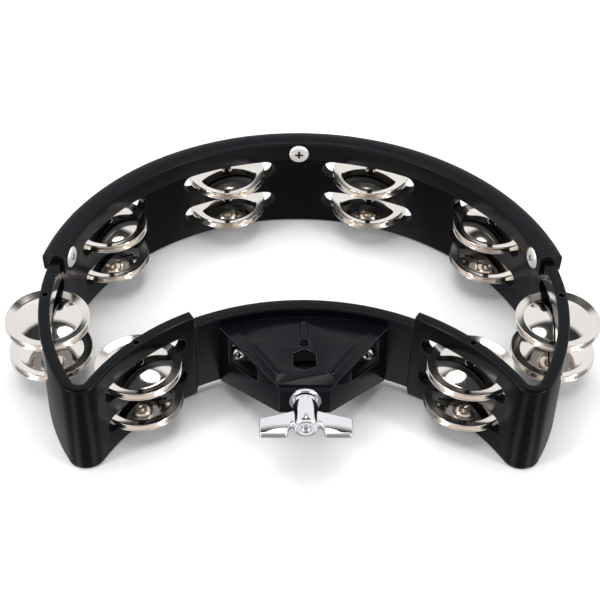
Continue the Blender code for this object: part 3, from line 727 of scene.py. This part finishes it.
def build_bracket_fixings():
    bm = bmesh.new()
    thick = 1.0
    lathe(bm, ring_profile(BRACKET_SCREW_R + 0.4, 4.9, 0.0, thick), 64)
    washer = mesh_from(bm, "washer")
    screw = pan_screw("bracket_screw", head=4.2, dome=3.0, shank=BRACKET_SCREW_R, length=15.6)
    nut = hex_nut("bracket_nut", bore=BRACKET_SCREW_R + 0.1, radius=4.9, high=3.6)
    face = SEAT_R - PRESS - GAP
    for name, angle in (("left", -BRACKET_SCREW_ANGLE), ("right", BRACKET_SCREW_ANGLE)):
        out = front_point(angle, 1.0) - front_point(angle, 0.0)
        place(f"flat_washer_{name}", washer, washer_nickel, f"bracket_washer_{name}", "rim",
              front_point(angle, face, MID_Z), facing(-out))
        place(f"pan_screw_{name}", screw, pan_nickel, f"bracket_screw_{name}", "rim",
              front_point(angle, face - thick - GAP, MID_Z), facing(-out))
        place(f"hex_nut_{name}", nut, nut_steel, f"bracket_nut_{name}", "rim",
              front_point(angle, FRONT_R + WALL + GAP, MID_Z), facing(out))


# ---------------------------------------------------------------- wing screw

def build_clamp():
    """The clamp's washer, nut, threaded stem and wing."""
    inward = facing((0, 1, 0))
    bm = bmesh.new()
    lathe(bm, ring_profile(STEM_R + 0.5, 7.35, 0.0, 1.5, 0.3), 96)
    place("clamp_flat_washer", mesh_from(bm, "clamp_washer"), ring_chrome, "clamp_washer", "rim",
          (0, FRONT_Y - 1.8, SCREW_Z), inward)
    nut = hex_nut("clamp_hex", STEM_R + 0.3, 5.4, 4.7)
    place("clamp_hex_nut", nut, nut_steel, "clamp_nut", "rim",
          (0, FRONT_Y + PRESS + 0.3, SCREW_Z), inward)

    # Stem: a helical thread between a plain seat in the boss and a turned-down tip.
    bm = bmesh.new()
    around, pitch = 28, 1.0
    length = STEM_TIP_Y - STEM_BACK_Y
    start, stop = 6.0, length - 3.4

    def circles(*steps):
        return [[(r * math.cos(math.tau * k / around), r * math.sin(math.tau * k / around), z)
                 for k in range(around)] for z, r in steps]

    rings = circles((0.0, STEM_R - 0.3), (0.3, STEM_R), (start - 0.4, STEM_R))
    z = start
    while z < stop:
        ring = []
        for k in range(around):
            wave = abs(((z / pitch - k / around) % 1.0) * 2 - 1)
            r = STEM_R - 0.5 * wave
            ring.append((r * math.cos(math.tau * k / around), r * math.sin(math.tau * k / around), z))
        rings.append(ring)
        z += pitch / 6
    rings += circles((stop + 0.4, STEM_R - 0.4), (length - 2.6, STEM_R - 0.4), (length - 1.9, STEM_TIP_R),
                     (length - 0.35, STEM_TIP_R), (length, STEM_TIP_R - 0.35))
    loft(bm, rings, closed=False)
    place("clamp_threaded_stem", mesh_from(bm, "stem", 50.0), stem_steel, "clamp_stem", "clamp_stem",
          (0, STEM_BACK_Y, SCREW_Z), inward)

    # Wing: turned boss with a ringed end, and two flat ears with rounded edges.
    outward = facing((0, -1, 0))
    long = BOSS_REAR_Y - BOSS_FRONT_Y
    bm = bmesh.new()
    profile = [(0.0, 0.0), (BOSS_R - 0.6, 0.0), (BOSS_R - 0.15, 0.2), (BOSS_R, 0.6), (BOSS_R, long - 1.9)]
    profile += [(BOSS_R - 1.5 * (1 - math.cos(math.radians(a))), long - 1.9 + 1.5 * math.sin(math.radians(a)))
                for a in (20, 40, 60, 78)]
    profile += [(3.3, long), (3.0, long - 0.1), (2.8, long - 0.3), (2.7, long - 1.7), (1.8, long - 1.7),
                (1.65, long - 0.9), (1.3, long - 0.7), (0.0, long - 0.65)]
    lathe(bm, profile, 96, outward)
    wing = solid("wing", bm)
    bm = bmesh.new()
    for side in (-1, 1):
        ear = [(3.0, 6.6), (6.0, 6.4), (WING_HALF - 1.6, 10.7), (WING_HALF - 0.5, 11.2), (WING_HALF, 12.2),
               (WING_HALF, 19.8), (WING_HALF - 0.3, 20.5), (WING_HALF - 1.0, WING_REACH), (9.6, WING_REACH),
               (8.7, 20.5), (8.3, 19.8), (8.1, 17.8), (7.6, 16.4), (6.9, 15.4), (3.0, 14.6)]
        loft(bm, [[(side * u, -v, z) for u, v in ear] for z in (-WING_THICK / 2, WING_THICK / 2)], closed=False)
    ears = solid("ears", bm)
    step = ears.modifiers.new("edge", "BEVEL")
    step.width, step.segments, step.limit_method = 0.55 * MM, 4, "ANGLE"
    step.angle_limit = math.radians(50)
    bore = bmesh.new()
    rod(bore, STEM_R + GAP, BOSS_REAR_Y - STEM_BACK_Y + GAP + 1.0, 32, along((0, -1, 0), (0, 1.0, 0)))
    carve(wing, [(ears, "UNION"), (solid("bore", bore), "DIFFERENCE")], crease=40.0)
    place("clamp_wing_ears", take_mesh(wing), chrome, "clamp_wing", "clamp_wing",
          (0, BOSS_REAR_Y, SCREW_Z))


build_rim()
build_jingles()
build_strip()
build_strip_screws()
build_bracket()
build_rod_guide()
build_bracket_fixings()
build_clamp()


# ---------------------------------------------------------------- studio

def area_light(name, at, look, size, power, colour=(1, 1, 1)):
    lamp = bpy.data.lights.new(name, "AREA")
    lamp.shape, lamp.energy, lamp.color = "RECTANGLE", power, colour
    lamp.size, lamp.size_y = size
    obj = add_object(name, lamp)
    obj.location = at
    obj.rotation_euler = (Vector(look) - Vector(at)).to_track_quat("-Z", "Y").to_euler()
    return obj


def grey_ramp(nodes, links, value, stops):
    """A value turned into the studio's slightly cool greys, by (position, level) stops."""
    ramp = nodes.new("ShaderNodeValToRGB")
    ramp.color_ramp.interpolation = "EASE"
    while len(ramp.color_ramp.elements) < len(stops):
        ramp.color_ramp.elements.new(0.5)
    for element, (position, level) in zip(ramp.color_ramp.elements, stops):
        element.position = position
        element.color = (level * 0.97, level * 0.98, level, 1.0)
    links.new(value, ramp.inputs["Fac"])
    return ramp.outputs["Color"]


def build_studio():
    """A pale floor, a tent of soft light that the metal mirrors, and the lamps."""
    floor_mesh = bpy.data.meshes.new("floor")
    bm = bmesh.new()
    bmesh.ops.create_grid(bm, x_segments=1, y_segments=1, size=30.0)
    bm.to_mesh(floor_mesh)
    bm.free()
    floor = add_object("floor", floor_mesh)
    paper = surface("floor_white_paper", (0.86, 0.86, 0.865), 0.85, tint=0.004, grain=40.0, bump=0.02,
                    bump_scale=300.0, specular=0.2)
    floor_mesh.materials.append(paper)
    floor.location.z = -0.0004
    floor.visible_glossy = False

    # The tent is bright from the horizon part of the way up and dark overhead. Below the horizon, where
    # only reflections look, it is dark with a pale card on either side.
    world = bpy.data.worlds.new("studio")
    bpy.context.scene.world = world
    world.use_nodes = True
    nodes, links = world.node_tree.nodes, world.node_tree.links
    sky = nodes["Background"]
    where = nodes.new("ShaderNodeTexCoord")
    split = nodes.new("ShaderNodeSeparateXYZ")
    links.new(where.outputs["Generated"], split.inputs["Vector"])
    cards = remap(nodes, links, split.outputs["Y"], From_Min=-0.05, From_Max=-0.3)
    sideways = nodes.new("ShaderNodeMath")
    sideways.operation = "ABSOLUTE"
    links.new(split.outputs["X"], sideways.inputs[0])
    above = nodes.new("ShaderNodeMath")
    above.operation = "GREATER_THAN"
    above.inputs[1].default_value = -0.014          # covers the gap past the floor's far edge
    links.new(split.outputs["Z"], above.inputs[0])
    card_light = grey_ramp(nodes, links, sideways.outputs["Value"],
                           ((0.0, 0.26), (0.25, 0.28), (0.42, 1.0), (0.52, 1.0), (0.68, 0.26)))
    under = mixed_colour(nodes, links, cards, (0.25, 0.256, 0.27), card_light)
    tent = grey_ramp(nodes, links, split.outputs["Z"],
                     ((0.0, 1.05), (0.14, 1.05), (0.24, 0.88), (0.74, 0.88), (0.82, 0.03), (1.0, 0.05)))
    links.new(mixed_colour(nodes, links, above.outputs["Value"], under, tent), sky.inputs["Color"])
    sky_lamp = bpy.data.lights.new("overhead", "SUN")
    sky_lamp.energy, sky_lamp.angle = 2.3, math.radians(55)
    overhead = add_object("overhead", sky_lamp)
    overhead.rotation_euler = (math.radians(-6), math.radians(-4), 0.0)
    overhead.visible_glossy = False
    glint = area_light("glint", (0.0, 0.15, 0.50), (0, 0.03, 0), (0.17, 0.15), 0.30, (1.0, 0.985, 0.965))
    glint.data.shape = "ELLIPSE"
    area_light("left_bank", (-1.1, -0.7, 0.75), (0, 0, 0.03), (0.22, 0.8), 7.0)
    area_light("right_bank", (1.1, -0.7, 0.75), (0, 0, 0.03), (0.22, 0.8), 7.0)
    bpy.context.scene.view_settings.view_transform = "Standard"


def build_camera():
    """The photograph's viewing angle: 41.5 degrees above the player's side."""
    yaw, elevation, roll, distance = 0.00811, 0.7245, -0.00749, 781.37
    target = Vector((-15.558, 52.846 - MIDDLE_Y, 0.0))
    c, s = math.cos(yaw), math.sin(yaw)
    ce, se = math.cos(elevation), math.sin(elevation)
    cr, sr = math.cos(roll), math.sin(roll)
    right = Vector((c, -s, 0.0))
    up = Vector((se * s, se * c, ce))
    forward = Vector((ce * s, ce * c, -se))
    across = right * cr - up * sr
    upright = right * sr + up * cr
    lens = bpy.data.cameras.new("camera")
    lens.sensor_width, lens.lens = 36.0, 36.0 * 1471.85 / 600.0
    lens.shift_x = 0.0495
    lens.clip_start, lens.clip_end = 0.01, 50.0
    camera = add_object("camera", lens)
    spot = (target - forward * distance) * MM
    camera.matrix_world = Matrix((
        (across.x, upright.x, -forward.x, spot.x),
        (across.y, upright.y, -forward.y, spot.y),
        (across.z, upright.z, -forward.z, spot.z),
        (0.0, 0.0, 0.0, 1.0)))
    bpy.context.scene.camera = camera


build_studio()
build_camera()
